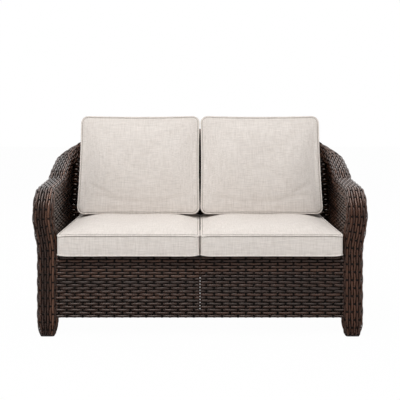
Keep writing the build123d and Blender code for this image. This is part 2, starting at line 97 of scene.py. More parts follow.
# The weave: flat strands over and under straight stakes, in front of a sheet; stakes and sheet are near
# black, a painted shade for the dark inside of the weave
stake_pitch = 0.0336
row_pitch = 0.0127
cap_strands = 24
rear_strands = 16
strand_thick = 0.0040
strand_wave = 0.0030
strand_crest = 0.0012
strand_fill = 0.86
stake_width = 0.0095
stake_thick = 0.0022
stake_ridge = 0.7
stake_depth = -0.0050
# Depth and thickness of the near-black sheet of painted shade behind the strands
shade_sheet_depth = -0.0060
shade_sheet_thick = 0.0007
samples_per_stake = 4
dip_sharpness = 0.35
strand_drift = 0.0005
drift_step = 0.83
drift_phase = 40
ring_steps = 28
strand_profile = ((-0.5, 0), (-0.41, 0.50), (-0.22, 0.88), (0, 1), (0.22, 0.88), (0.41, 0.50), (0.5, 0))
seam_half = 0.0012
skirt_reach = 0.020
lacing_reach = 0.0045
lacing_depth = -0.0030
lacing_fill = 0.74

post_x = seat_half + cap_width / 2
post_y = front_y + cap_thick / 2
arm_z = arm_top_z - cap_thick / 2
back_y = rear_y - cap_width / 2
skin_face = cap_width / 2 - skin_inset + strand_rise
strand_seat = strand_crest - strand_thick - strand_wave
step_length = stake_pitch / samples_per_stake
up = Vector((0, 0, 1))


def arm_x(y):
    """Centre of the arm cap at a place along the seat's depth."""
    return post_x + flare + splay * (y - post_y)


route_corners = [
    Vector((post_x, post_y, foot_low_z)),
    Vector((post_x, post_y, flare_low_z)),
    Vector((post_x + flare, post_y, flare_high_z)),
    Vector((arm_x(post_y), post_y, arm_z)),
    Vector((arm_x(rise_start_y), rise_start_y, rise_start_z)),
    Vector((arm_x(rise_end_y), rise_end_y, rise_end_z)),
    Vector((arm_x(back_y), back_y, corner_z)),
    Vector((shoulder_x, back_y, shoulder_z)),
    Vector((crest_x, back_y, crest_z)),
    Vector((0, back_y, crest_z)),
]


def route_pieces(corners, radii):
    """Straight runs and tangent arcs along the corners, each a length and a function of distance."""
    pieces = []
    start = corners[0]
    for before, corner, after, radius in zip(corners, corners[1:], corners[2:], radii):
        way_in = (corner - before).normalized()
        way_out = (after - corner).normalized()
        turn = acos(way_in.dot(way_out))
        cut = radius * tan(turn / 2)
        inward = way_in.cross(way_out).normalized().cross(way_in)
        bend = corner - way_in * cut
        pieces.append(((bend - start).length, lambda d, p=start, w=way_in: (p + w * d, w)))

        def arc(d, p=bend, w=way_in, i=inward, r=radius):
            angle = d / r
            return p + w * (r * sin(angle)) + i * (r * (1 - cos(angle))), w * cos(angle) + i * sin(angle)

        pieces.append((radius * turn, arc))
        start = corner + way_out * cut
    last = corners[-1] - corners[-2]
    pieces.append(((corners[-1] - start).length, lambda d, p=start, w=last.normalized(): (p + w * d, w)))
    return pieces


half_route = route_pieces(route_corners, bend_radii)
half_length = sum(length for length, place in half_route)


def on_half(distance):
    """Point and direction on the +X half of the cap's centreline."""
    for length, place in half_route:
        if distance <= length:
            return place(distance)
        distance -= length
    return place(length)


def on_route(distance):
    """Point and direction along the whole cap, from the right foot over the back to the left foot."""
    if distance <= half_length:
        return on_half(distance)
    point, way = on_half(2 * half_length - distance)
    return Vector((-point.x, point.y, point.z)), Vector((way.x, -way.y, -way.z))


def side_way(way):
    """The level direction across the route, out of the loveseat on the +X side."""
    plan = Vector((way.x, way.y, 0))
    if plan.length < 0.5:
        across = Vector((1, 0, 0)) if way.z > 0 else Vector((-1, 0, 0))
        return (across - way * way.dot(across)).normalized()
    plan.normalize()
    return Vector((plan.y, -plan.x, 0))


def rounded_ring(width, height, corner, share):
    """Point and outward normal at a share of the way round a rounded rectangle."""
    flat_x = width - 2 * corner
    flat_y = height - 2 * corner
    quarter = pi / 2 * corner
    distance = (share % 1) * (2 * flat_x + 2 * flat_y + 4 * quarter)
    x = width / 2 - corner
    y = height / 2 - corner
    sides = ((flat_y, x, -y, 0), (flat_x, x, y, 1), (flat_y, -x, y, 2), (flat_x, -x, -y, 3))
    for flat, start_x, start_y, turns in sides:
        angle = turns * pi / 2
        out = Vector((cos(angle), sin(angle)))
        along = Vector((-sin(angle), cos(angle)))
        if distance <= flat:
            return Vector((start_x, start_y)) + out * corner + along * distance, out
        distance -= flat
        centre = Vector((start_x, start_y)) + along * flat
        if distance <= quarter:
            turn = angle + distance / corner
            out = Vector((cos(turn), sin(turn)))
            return centre + out * corner, out
        distance -= quarter
    return Vector((x + corner, -y)), Vector((1, 0))


class Weave:
    """Strands and the near-black sheet of painted shade behind them gathered into one mesh, each strand with
    its own colour share.
    """

    def __init__(self):
        self.verts = []
        self.faces = []
        self.uvs = []
        self.slots = []

    def face(self, corners, uv, slot):
        """One face with the place along the strand of each corner."""
        self.faces.append(corners)
        self.uvs.append(uv)
        self.slots.append(slot)

    def run(self, rings, tint, slot):
        """A closed form through rings of points."""
        count = len(rings[0])
        first = len(self.verts)
        along = 0.0
        for ring in rings:
            self.verts.extend(ring)
        for step in range(len(rings) - 1):
            low = first + step * count
            ahead = along + (rings[step + 1][0] - rings[step][0]).length
            uv = ((along, tint), (along, tint), (ahead, tint), (ahead, tint))
            for index in range(count):
                after = (index + 1) % count
                self.face((low + index, low + after, low + count + after, low + count + index), uv, slot)
            along = ahead
        self.face([first + index for index in reversed(range(count))], ((0, tint),) * count, slot)
        last = first + (len(rings) - 1) * count
        self.face([last + index for index in range(count)], ((along, tint),) * count, slot)

    def strand(self, stations, width, thick, tint):
        """A flat strand through stations of point, across, out and a share of its width."""
        if len(stations) < 2:
            return
        rings = []
        for index, (point, across, out, scale) in enumerate(stations):
            drift = strand_drift * sin(index * drift_step + tint * drift_phase)
            ring = []
            for sideways, raised in strand_profile:
                ring.append(point + across * ((sideways * width + drift) * scale) + out * (raised * thick))
            rings.append(ring)
        self.run(rings, tint, 0)

    def stake(self, stations):
        """A stake coloured near black: a painted shade where the strands dip behind it."""
        rings = []
        for point, across, out, scale in stations:
            foot = across * (stake_width / 2)
            ridge = foot * stake_ridge
            top = point + out * stake_thick
            rings.append([point - foot, top - ridge, top + ridge, point + foot])
        self.run(rings, 0, 1)

    def shade_sheet(self, rings):
        """The near-black sheet behind the strands: a painted shade for the dark inside of the weave."""
        self.run(rings, 0, 1)

    def made(self, name):
        """The gathered strands as one object."""
        mesh = bpy.data.meshes.new(name)
        mesh.from_pydata(self.verts, [], self.faces)
        layer = mesh.uv_layers.new(name="strand")
        for polygon, corners, slot in zip(mesh.polygons, self.uvs, self.slots):
            polygon.use_smooth = True
            polygon.material_index = slot
            for loop, uv in zip(polygon.loop_indices, corners):
                layer.data[loop].uv = uv
        piece = bpy.data.objects.new(name, mesh)
        bpy.context.collection.objects.link(piece)
        work = bmesh.new()
        work.from_mesh(mesh)
        bmesh.ops.recalc_face_normals(work, faces=work.faces)
        work.to_mesh(mesh)
        work.free()
        return piece


def wave(place, row):
    """Height of a strand's underside: level over one stake, with a short dip under the next."""
    level = (1 + cos(pi * (place + row))) / 2
    return strand_seat + strand_wave * (2 * level**dip_sharpness - 1)


def tint_of(row, seed):
    """A steady share from 0 to 1 for the colour of one strand."""
    return (sin(row * 12.9898 + seed * 78.233) * 43758.5453) % 1


def cap_size(distance):
    """Width, thickness and corner of the cap's section at a place along it, smaller at the feet."""
    taper = min(distance, 2 * half_length - distance) / foot_taper
    taper = min(max(taper, 0), 1)
    width = foot_width + (cap_width - foot_width) * taper
    thick = foot_thick + (cap_thick - foot_thick) * taper
    return width, thick, foot_corner + (cap_corner - foot_corner) * taper


def cap_place(distance, share, depth):
    """Point and outward normal on the cap at a share of the way round it, and the way along."""
    point, way = on_route(distance)
    side = side_way(way)
    under = way.cross(side)
    flat, normal = rounded_ring(*cap_size(distance), share)
    out = side * normal.x + under * normal.y
    return point + side * flat.x + under * flat.y + out * depth, out, way


cap_girth = 2 * (cap_width + cap_thick) - (8 - 2 * pi) * cap_corner


def cap_strand(weave, row, start, end, seed):
    """One strand that follows the cap."""
    stations = []
    steps = round((end - start) / step_length)
    for step in range(steps + 1):
        distance = start + (end - start) * step / steps
        point, out, way = cap_place(distance, (row + 0.5) / cap_strands, wave(distance / stake_pitch, row))
        stations.append((point, way.cross(out), out, cap_size(distance)[0] / cap_width))
    weave.strand(stations, cap_girth / cap_strands * strand_fill, strand_thick, tint_of(row, seed))


def cap_stake(weave, place):
    """A stake round the cap, which the strands pass over and under."""
    stations = []
    for step in range(ring_steps + 1):
        point, out, way = cap_place(place * stake_pitch, step / ring_steps, stake_depth)
        stations.append((point, way, out, 1))
    weave.stake(stations)


def cap_weave(name, start, end, seed):
    """The weave round a stretch of the cap."""
    weave = Weave()
    for row in range(cap_strands):
        cap_strand(weave, row, start, end, seed)
    for place in range(int(start / stake_pitch) + 1, int(end / stake_pitch) + 1):
        cap_stake(weave, place)
    rings = []
    steps = round((end - start) / step_length)
    for step in range(steps + 1):
        distance = start + (end - start) * step / steps
        ring = [cap_place(distance, index / ring_steps, shade_sheet_depth)[0] for index in range(ring_steps)]
        rings.append(ring)
    weave.shade_sheet(rings)
    return weave.made(name)


def plan_stations(start, end, spacing):
    """Places at equal plan spacing below the cap: point on its centreline, side direction, distance."""
    found = []
    travelled = 0.0
    before = on_route(start)[0]
    for step in range(int((end - start) * plan_samples)):
        point, way = on_route(start + (step + 1) / plan_samples)
        travelled += hypot(point.x - before.x, point.y - before.y)
        before = point
        if travelled >= len(found) * spacing:
            found.append((point, side_way(way), len(found) * spacing))
    return found


def skin_place(centre, side, face, z, facing, depth):
    """Point, upward direction and outward normal on a side skin."""
    share = min(max((z - flare_low_z) / (flare_high_z - flare_low_z), 0), 1)
    slope = flare / (flare_high_z - flare_low_z) if 0 < share < 1 else 0
    rising = (up + side * slope).normalized()
    out = (side - rising * side.dot(rising)).normalized() * facing
    point = Vector((centre.x, centre.y, z)) + side * (face - flare * (1 - share))
    return point + out * depth, rising, out


def skin_rows(weave, places, face, low_z, facing, seed, keep):
    """The level strands of a skin. keep says whether a strand shows at a place and height."""
    high_z = max(centre.z for centre, side, at in places)
    width = row_pitch * strand_fill
    for row in range(int((high_z - low_z) / row_pitch)):
        z = low_z + (row + 0.5) * row_pitch
        stretch = []
        for centre, side, at in places:
            if keep(centre, z):
                lift = wave(at / stake_pitch, row)
                point, rising, out = skin_place(centre, side, face, z, facing, lift)
                stretch.append((point, rising, out, 1))
            else:
                weave.strand(stretch, width, strand_thick, tint_of(row, seed))
                stretch = []
        weave.strand(stretch, width, strand_thick, tint_of(row, seed))


def skin_levels(low_z, high_z):
    """Heights at which a skin's upright section turns."""
    return [z for z in (low_z, flare_low_z, flare_high_z) if low_z <= z < high_z] + [high_z]


def skin_stakes(weave, places, face, low_z, facing, keep):
    """The upright stakes of a skin."""
    for index, (centre, side, at) in enumerate(places):
        if index % samples_per_stake or not keep(centre, low_z):
            continue
        stretch = []
        for z in skin_levels(low_z, centre.z):
            point, rising, out = skin_place(centre, side, face, z, facing, stake_depth)
            stretch.append((point, side.cross(up), out, 1))
        weave.stake(stretch)


def skin_shade_sheet(weave, places, face, low_z, facing):
    """The near-black sheet of painted shade behind a skin's strands."""
    rings = []
    for centre, side, at in places:
        levels = skin_levels(low_z, centre.z) if centre.z > flare_high_z else [low_z, centre.z]
        near = [skin_place(centre, side, face, z, facing, shade_sheet_depth)[0] for z in levels]
        far = [skin_place(centre, side, face, z, facing, shade_sheet_depth - shade_sheet_thick)[0] for z in levels]
        rings.append(near + far[::-1])
    weave.shade_sheet(rings)


def skin_weave(name, places, face, low_z, facing, seed, keep):
    """A skin's strands, stakes and sheet of painted shade as one piece."""
    weave = Weave()
    skin_rows(weave, places, face, low_z, facing, seed, keep)
    skin_stakes(weave, places, face, low_z, facing, keep)
    skin_shade_sheet(weave, places, face, low_z, facing)
    return weave.made(name)


def under_cap(centre, z):
    """Whether a strand at that height ends inside the cap."""
    return z < centre.z


panel_top_y = rear_y - cap_width + skin_inset
panel_top_z = crest_z - cap_thick / 2
panel_low_y = panel_top_y - (panel_top_z - panel_low_z) * tan(back_lean)


def panel_face(z, top_z):
    """Front face of the back panel at a height. top_z is where it meets the cap."""
    return panel_low_y + (panel_top_y - panel_low_y) * (z - panel_low_z) / (top_z - panel_low_z)


def panel_weave(name, seed):
    """The weave on the leaning back panel."""
    weave = Weave()
    reach = int(panel_end_x / step_length)
    line_start = corner_end - panel_overlap
    line_count = int((half_length - line_start) / panel_line_step)
    back_line = [on_half(line_start + step * panel_line_step)[0] for step in range(line_count)]
    centres = {}
    for index in range(-reach, reach + 1):
        centres[index] = min(back_line, key=lambda point: abs(point.x - abs(index * step_length))).z
    out = Vector((0, -cos(back_lean), sin(back_lean)))
    rising = Vector((0, sin(back_lean), cos(back_lean)))

    def place(index, z, depth):
        top_z = centres[index] - cap_thick / 2
        return Vector((index * step_length, panel_face(z, top_z), z)) + out * depth

    for row in range(int((crest_z - panel_low_z) / row_pitch)):
        z = panel_low_z + (row + 0.5) * row_pitch
        stretch = []
        for index in range(-reach, reach + 1):
            if z < centres[index]:
                stretch.append((place(index, z, wave(index / samples_per_stake, row)), rising, out, 1))
        weave.strand(stretch, row_pitch * strand_fill, strand_thick, tint_of(row, seed))
    for index in range(-reach, reach + 1):
        if index % samples_per_stake == 0:
            heights = (panel_low_z, centres[index])
            ends = [(place(index, z, stake_depth), Vector((1, 0, 0)), out, 1) for z in heights]
            weave.stake(ends)
    rings = []
    for index in range(-reach, reach + 1):
        near = [place(index, z, shade_sheet_depth) for z in (panel_low_z, centres[index])]
        far = [place(index, z, shade_sheet_depth - shade_sheet_thick) for z in (centres[index], panel_low_z)]
        rings.append(near + far)
    weave.shade_sheet(rings)
    return weave.made(name)


def inner_places(sign):
    """Places along the skin beside a seat, straight from the leg to the back panel."""
    places = []
    side = Vector((sign, -splay, 0)).normalized()
    for index in range(int((rear_leg_y - post_y) / step_length)):
        y = post_y + skin_tuck + index * step_length
        near = min(arm_line, key=lambda point: abs(point.y - y))
        places.append((Vector((sign * arm_x(y), y, near.z)), side, index * step_length))
    return places


def beside_seat(centre, z):
    """Whether a strand of the inner side skin shows in front of the back panel."""
    return z < centre.z and centre.y < panel_face(z, panel_top_z) + skin_tuck


def skirt_lacing(weave, rows, pitch):
    """The short stitches that lace both halves of the skirt together in the middle."""
    for row in range(rows):
        z = skirt_low_z + (row + 0.5) * pitch
        ends = []
        for x in (-lacing_reach, lacing_reach):
            ends.append((Vector((x, skirt_y - lacing_depth, z)), up, Vector((0, -1, 0)), 1))
        weave.strand(ends, pitch * lacing_fill, strand_thick / 2, tint_of(row, 45))


def skirt_weave(name, sign, seed):
    """One half of the front skirt, from the middle seam to a leg."""
    weave = Weave()
    rows = round((skirt_top_z - skirt_low_z) / row_pitch)
    pitch = (skirt_top_z - skirt_low_z) / rows
    out = Vector((0, -1, 0))
    right = Vector((1, 0, 0))
    count = int((seat_half + skirt_reach) / step_length)
    edge = sign * seam_half

    def place(index, z, depth):
        return Vector((edge + sign * index * step_length, skirt_y - depth, z))

    for row in range(rows):
        z = skirt_low_z + (row + 0.5) * pitch
        stretch = []
        for index in range(count):
            lift = wave((index + 1) / samples_per_stake, row)
            stretch.append((place(index, z, lift), up, out, 1))
        weave.strand(stretch, pitch * strand_fill, strand_thick, tint_of(row, seed))
    for index in range(samples_per_stake - 1, count, samples_per_stake):
        ends = [(place(index, z, stake_depth), right, out, 1) for z in (skirt_low_z, skirt_top_z)]
        weave.stake(ends)
    if sign > 0:
        skirt_lacing(weave, rows, pitch)
    rings = []
    for index in (0, count - 1):
        near = [place(index, z, shade_sheet_depth) for z in (skirt_low_z, skirt_top_z)]
        far = [place(index, z, shade_sheet_depth - shade_sheet_thick) for z in (skirt_top_z, skirt_low_z)]
        rings.append(near + far)
    weave.shade_sheet(rings)
    return weave.made(name)


def rear_leg_place(sign, z, share, depth):
    """Point and outward normal round a rear leg."""
    taper = min((z - foot_low_z) / foot_taper, 1)
    size = rear_leg_tip + (rear_leg_size - rear_leg_tip) * taper
    corner = foot_corner + (rear_leg_corner - foot_corner) * taper
    flat, normal = rounded_ring(size, size, corner, share)
    out = Vector((normal.x, normal.y, 0))
    point = Vector((sign * rear_leg_x + flat.x, rear_leg_y + flat.y, z)) + out * depth
    return point, out, size / rear_leg_size


def rear_leg_weave(name, sign, seed):
    """Upright strands round a rear leg."""
    weave = Weave()
    girth = 4 * rear_leg_size - (8 - 2 * pi) * rear_leg_corner
    steps = int((rear_leg_top_z - foot_low_z) / step_length)
    levels = [foot_low_z + step * step_length for step in range(steps + 1)]
    for strand in range(rear_strands):
        stretch = []
        for step, z in enumerate(levels):
            share = (strand + 0.5) / rear_strands
            point, out, scale = rear_leg_place(sign, z, share, wave(step / samples_per_stake, strand))
            stretch.append((point, up.cross(out), out, scale))
        weave.strand(stretch, girth / rear_strands * strand_fill, strand_thick, tint_of(strand, seed))
    for z in levels[::samples_per_stake]:
        stretch = []
        for step in range(ring_steps + 1):
            point, out, scale = rear_leg_place(sign, z, step / ring_steps, stake_depth)
            stretch.append((point, up, out, 1))
        weave.stake(stretch)
    rings = []
    for z in levels:
        shares = [index / ring_steps for index in range(ring_steps)]
        rings.append([rear_leg_place(sign, z, share, shade_sheet_depth)[0] for share in shares])
    weave.shade_sheet(rings)
    return weave.made(name)


def node_of(tree, kind, **values):
    """A shader node with its settings."""
    node = tree.nodes.new(kind)
    for key, value in values.items():
        setattr(node, key, value)
    return node


def new_material(name, roughness, specular=0.5):
    """A material with its node tree and principled shader."""
    material = bpy.data.materials.new(name)
    material.use_nodes = True
    tree = material.node_tree
    shader = tree.nodes["Principled BSDF"]
    shader.inputs["Roughness"].default_value = roughness
    shader.inputs["Specular IOR Level"].default_value = specular
    return material, tree, shader


def ramp(tree, source, stops):
    """A colour ramp over a socket, through stops of place and colour."""
    node = tree.nodes.new("ShaderNodeValToRGB")
    elements = node.color_ramp.elements
    while len(elements) < len(stops):
        elements.new(0.5)
    for element, (place, colour) in zip(elements, stops):
        element.position = place
        element.color = (*colour, 1)
    tree.links.new(source, node.inputs["Fac"])
    return node.outputs["Color"]


def noise_of(tree, scale, detail=2.0, stretch=(1, 1, 1)):
    """Noise on Object coordinates, stretched along an axis."""
    place = tree.nodes.new("ShaderNodeTexCoord")
    mapping = tree.nodes.new("ShaderNodeMapping")
    mapping.inputs["Scale"].default_value = stretch
    texture = tree.nodes.new("ShaderNodeTexNoise")
    texture.inputs["Scale"].default_value = scale
    texture.inputs["Detail"].default_value = detail
    tree.links.new(place.outputs["Object"], mapping.inputs["Vector"])
    tree.links.new(mapping.outputs["Vector"], texture.inputs["Vector"])
    return texture.outputs["Fac"]


def multiply(tree, first, second, share):
    """Two colours multiplied."""
    mix = node_of(tree, "ShaderNodeMix", data_type="RGBA", blend_type="MULTIPLY")
    mix.inputs["Factor"].default_value = share
    tree.links.new(first, mix.inputs["A"])
    tree.links.new(second, mix.inputs["B"])
    return mix.outputs["Result"]


def bump(tree, shader, height, strength, distance):
    """A bump on a shader."""
    node = tree.nodes.new("ShaderNodeBump")
    node.inputs["Strength"].default_value = strength
    node.inputs["Distance"].default_value = distance
    tree.links.new(height, node.inputs["Height"])
    tree.links.new(node.outputs["Normal"], shader.inputs["Normal"])


def resin_material(name, browns):
    """Glossy dark brown resin strand: each a slightly different brown, with fine drawn streaks."""
    material, tree, shader = new_material(name, 0.24, 0.26)
    uv = node_of(tree, "ShaderNodeUVMap", uv_map="strand")
    parts = tree.nodes.new("ShaderNodeSeparateXYZ")
    tree.links.new(uv.outputs["UV"], parts.inputs[0])
    white = node_of(tree, "ShaderNodeTexWhiteNoise", noise_dimensions="1D")
    tree.links.new(parts.outputs["Y"], white.inputs["W"])
    tones = ramp(tree, white.outputs["Value"], browns)
    streaks = ramp(tree, noise_of(tree, 150, 3), ((0.3, (0.55, 0.52, 0.50)), (0.7, (1.0, 1.0, 1.0))))
    patches = ramp(tree, noise_of(tree, 14, 2), ((0.3, (0.70, 0.66, 0.62)), (0.7, (1.15, 1.1, 1.05))))
    tone = multiply(tree, multiply(tree, tones, streaks, 0.6), patches, 1.0)
    tree.links.new(tone, shader.inputs["Base Color"])
    shader.inputs["Specular Tint"].default_value = (1.0, 0.78, 0.68, 1)
    shader.inputs["Coat Weight"].default_value = 0.24
    shader.inputs["Coat Roughness"].default_value = 0.19
    bump(tree, shader, noise_of(tree, 220, 3), 0.2, 0.0003)
    return material


def mottled_material(name, dark, light, scale, roughness, specular, bump_depth, metallic=0.0):
    """A surface whose colour wanders between two tones, with a fine bump."""
    material, tree, shader = new_material(name, roughness, specular)
    shader.inputs["Metallic"].default_value = metallic
    tones = ramp(tree, noise_of(tree, scale, 3), ((0.35, dark), (0.65, light)))
    tree.links.new(tones, shader.inputs["Base Color"])
    bump(tree, shader, noise_of(tree, scale * 3), 0.3, bump_depth)
    return material


def webbing_material():
    """Black elastic webbing with fine ribs."""
    material, tree, shader = new_material("seat_webbing", 0.85, 0.2)
    place = tree.nodes.new("ShaderNodeTexCoord")
    ribs = node_of(tree, "ShaderNodeTexWave", bands_direction="DIAGONAL")
    ribs.inputs["Scale"].default_value = 160
    tree.links.new(place.outputs["Object"], ribs.inputs["Vector"])
    tones = ramp(tree, ribs.outputs["Fac"], ((0.2, (0.010, 0.010, 0.010)), (0.8, (0.035, 0.033, 0.031))))
    tree.links.new(tones, shader.inputs["Base Color"])
    bump(tree, shader, ribs.outputs["Fac"], 0.4, 0.0006)
    return material


def linen_material(name, tone):
    """Plain woven linen-look cloth: crossing threads of slightly different tone, with slubs."""
    material, tree, shader = new_material(name, 0.85, 0.25)
    across = noise_of(tree, 1, 2, (22, 520, 520))
    upright = noise_of(tree, 1, 2, (520, 22, 22))
    slub_across = noise_of(tree, 1, 3, (24, 230, 230))
    slub_upright = noise_of(tree, 1, 3, (230, 24, 24))
    low = tuple(channel * 0.86 for channel in tone)
    colour = ramp(tree, across, ((0.32, low), (0.6, tone)))
    colour = multiply(tree, colour, ramp(tree, upright, ((0.32, (0.87, 0.86, 0.85)), (0.6, (1, 1, 1)))), 0.8)
    slub_tones = ((0.36, (0.93, 0.92, 0.91)), (0.56, (1, 1, 1)))
    colour = multiply(tree, colour, ramp(tree, slub_across, slub_tones), 0.8)
    colour = multiply(tree, colour, ramp(tree, slub_upright, slub_tones), 0.8)
    tree.links.new(colour, shader.inputs["Base Color"])
    shader.inputs["Sheen Weight"].default_value = 0.15
    shader.inputs["Sheen Roughness"].default_value = 0.5
    add = node_of(tree, "ShaderNodeMath", operation="ADD")
    tree.links.new(across, add.inputs[0])
    tree.links.new(upright, add.inputs[1])
    bump(tree, shader, add.outputs[0], 0.35, 0.0006)
    return material


# Finishes
resin_browns = (
    (0.0, (0.009, 0.0040, 0.0026)),
    (0.4, (0.022, 0.0090, 0.0054)),
    (0.75, (0.046, 0.0200, 0.0118)),
    (1.0, (0.070, 0.0350, 0.0225)),
)
# The cap's strands are the same resin with their browns made lighter: painted light, for the top light that
# their upright strands catch less
cap_painted_light = 1.95
linen_tone = (0.790, 0.735, 0.690)
resin = resin_material("resin_strand", resin_browns)
cap_painted_light_browns = tuple((place, tuple(channel * cap_painted_light for channel in brown)) for place, brown in resin_browns)
cap_painted_light_resin = resin_material("resin_cap_strand_painted_light", cap_painted_light_browns)
# Near-black resin: a painted shade for the dark inside of the weave, on the stakes, on the sheets behind the
# strands and on the plain woven skins
painted_shade = mottled_material("resin_painted_shade", (0.003, 0.002, 0.0015), (0.006, 0.004, 0.003), 60, 0.8, 0.1, 0.0005)
coat_browns = ((0.030, 0.024, 0.020), (0.055, 0.045, 0.038))
frame_coat = mottled_material("frame_coat", *coat_browns, 400, 0.45, 0.5, 0.0003)
plastic_blacks = ((0.010, 0.008, 0.007), (0.018, 0.015, 0.013))
foot_plastic = mottled_material("foot_plastic", *plastic_blacks, 300, 0.5, 0.4, 0.0003)
metal_greys = ((0.45, 0.45, 0.44), (0.55, 0.55, 0.54))
bright_metal = mottled_material("bright_metal", *metal_greys, 300, 0.35, 0.5, 0.0002, 1.0)
zip_tape = mottled_material("zip_tape", (0.50, 0.46, 0.41), (0.62, 0.58, 0.53), 900, 0.7, 0.3, 0.0004)
webbing = webbing_material()
linen = linen_material("linen_cloth", linen_tone)
# The piping is the same linen made a little lighter: painted light, for the light that its round cord catches
painted_light_piping = linen_material("linen_piping_painted_light", tuple(channel * 1.06 for channel in linen_tone))
# Dark linen for thin tubes beside the welts: a painted shade where the cloth turns in
seam_painted_shade = mottled_material("seam_painted_shade", (0.24, 0.21, 0.185), (0.32, 0.28, 0.25), 200, 0.9, 0.1, 0.0002)

finishes = {
    "frame_metal": frame_coat,
    "woven_resin": painted_shade,
    "foot_plastic": foot_plastic,
    "glide_plastic": foot_plastic,
    "strap_webbing": webbing,
    "rivet_metal": bright_metal,
    "zip_slider": bright_metal,
    "zip_tape": zip_tape,
}
slot_of = {entry["node"]: entry["material_slot"] for entry in frame["record"]["subparts"]}
for name, node in nodes.items():
    if slot_of[name] in finishes:
        node.data.materials.clear()
        node.data.materials.append(finishes[slot_of[name]])


def woven(piece, replaced, strands=resin):
    """Finishes a woven piece of the frame, which stands for its plain skin: its strands get their resin, and
    its stakes and the sheet behind them get the near-black painted shade.
    """
    piece.data.materials.append(strands)
    piece.data.materials.append(painted_shade)
    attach(piece, "frame")
    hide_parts(replaced)


# The cap over both arms and the back
corner_end = sum(length for length, place in half_route[:12])
route_end = 2 * half_length
woven(cap_weave("arm_weave_right", 0, corner_end, 1), "arm_wrap_right", cap_painted_light_resin)
woven(cap_weave("arm_weave_left", route_end - corner_end, route_end, 2), "arm_wrap_left", cap_painted_light_resin)
woven(cap_weave("back_cap_weave", corner_end, route_end - corner_end, 3), "back_wrap", cap_painted_light_resin)

# The outer skins
wall_start = wall_search_start
while on_route(wall_start)[0].y < post_y + skin_tuck:
    wall_start += wall_search_step
all_places = plan_stations(wall_start, route_end - wall_start, step_length)
right_corner_x = post_x - corner_reach
right_end = max(index for index, (centre, side, at) in enumerate(all_places) if centre.x > right_corner_x)
left_start = len(all_places) - 1 - right_end
right_places = all_places[: right_end + 1]
rear_places = all_places[right_end : left_start + 1]
left_places = all_places[left_start:]
outer_skins = (
    ("side_weave_right", right_places, 11, "side_skin_right"),
    ("side_weave_left", left_places, 12, "side_skin_left"),
    ("rear_weave", rear_places, 13, "rear_skin"),
)
for name, places, seed, skin in outer_skins:
    woven(skin_weave(name, places, skin_face, skirt_low_z, 1, seed, under_cap), skin)

# The skins beside and behind the seats
woven(panel_weave("back_panel_weave", 21), "inner_back")
arm_count = int((corner_end - arm_line_short - wall_start) / arm_line_step)
arm_line = [on_half(wall_start + step * arm_line_step)[0] for step in range(arm_count)]
for name, sign in (("right", 1), ("left", -1)):
    places = inner_places(sign)
    piece = skin_weave(f"inner_weave_{name}", places, -skin_face, inner_low_z, -1, 31 + sign, beside_seat)
    woven(piece, f"inner_skin_{name}")

# The skirt and the rear legs
woven(skirt_weave("skirt_weave_right", 1, 41), "skirt_right")
woven(skirt_weave("skirt_weave_left", -1, 42), "skirt_left")
woven(rear_leg_weave("rear_leg_weave_right", 1, 51), "rear_leg_wrap_right")
woven(rear_leg_weave("rear_leg_weave_left", -1, 52), "rear_leg_wrap_left")

# Cushions: sizes in metres, each in its own frame with x across, y along its depth or height, z outwards
seat_end_x = 0.6025
seat_front_y = -0.4005
seat_rear_y = 0.191
seat_low_z = 0.3452
seat_thick = 0.092
seat_crown = 0.025
seat_corner = 0.014
back_end_x = 0.5965
back_front_y = 0.021
back_low_z = 0.4569
back_top_z = 0.933
back_thick = 0.1822
back_crown = 0.034
back_corner = 0.034
back_rear_draw = 0.010
seat_draw = 0.002
half_gap = 0.0004
welt_radius = 0.0034
welt_proud = 0.0022
welt_level = welt_radius + 0.0003
side_draw = 0.005
front_draw = 0.003
back_dents = (
    (0.150, -0.165, 0.070, 0.013, 0.15, 0.0035),
    (0.190, -0.125, 0.050, 0.011, 0.45, 0.0025),
    (-0.170, -0.170, 0.060, 0.012, -0.20, 0.0030),
    (0.020, -0.185, 0.080, 0.012, 0.05, 0.0022),
    (-0.215, 0.120, 0.014, 0.070, 0.10, 0.0020),
)
pinch = 0.006
pinch_reach = 0.045
crease_inset = 0.0068
crease_level = 0.0085
crease_radius = 0.0009
crease_lift = 0.0002
crease_steps = 160
welt_steps = 240
crown_steps = ((0.93, 0.30), (0.80, 0.54), (0.60, 0.77), (0.35, 0.93), (0.12, 1.0))
start_share = 0.35
seam_bevel = 0.006
voxel = 0.0055
level_slack = 0.00001
seam_width = 0.024
seam_slack = 0.001
zip_side_depth = 0.004
seat_swell = 0.002
back_swell = 0.003
filling_steps = 20
even_steps = 4


def edge_line(width, height, corner, draws, steps):
    """A cushion's outline: rounded corners and sides that pull in between them. draws are low, side, high."""
    low_draw, side, high_draw = draws
    points = []
    for step in range(steps):
        flat, normal = rounded_ring(width, height, corner, step / steps)
        across = 1 - min(abs(2 * flat.x / width), 1) ** 2
        rising = 1 - min(abs(2 * flat.y / height), 1) ** 2
        x = flat.x - side * rising * (2 * flat.x / width)
        draw = low_draw if flat.y < 0 else high_draw
        y = flat.y - draw * across * (2 * flat.y / height)
        points.append(Vector((x, y)))
    return points


def choose(kind, wanted):
    """Selects the edges or faces of the piece in edit mode that a rule picks, and nothing else."""
    bpy.ops.mesh.select_all(action="DESELECT")
    bpy.ops.mesh.select_mode(type=kind)
    work = bmesh.from_edit_mesh(bpy.context.object.data)
    for item in work.edges if kind == "EDGE" else work.faces:
        if wanted(item):
            item.select = True
    bmesh.update_edit_mesh(bpy.context.object.data)


def upright_edge(edge):
    """Whether an edge runs from the rear face to the front face of a cushion."""
    low, high = (vert.co.z for vert in edge.verts)
    return abs(low - high) > seam_bevel


def seam_edge(edge):
    """Whether an edge lies round the front or the rear face of a cushion."""
    return sorted(abs(face.normal.z) > 0.9 for face in edge.link_faces) == [False, True]


def front_face(face, level):
    """Whether a face is the front face of a cushion, at a level or over it."""
    high = face.calc_center_median().z > level - level_slack
    return face.normal.z > 0.9 and len(face.verts) > 8 and high


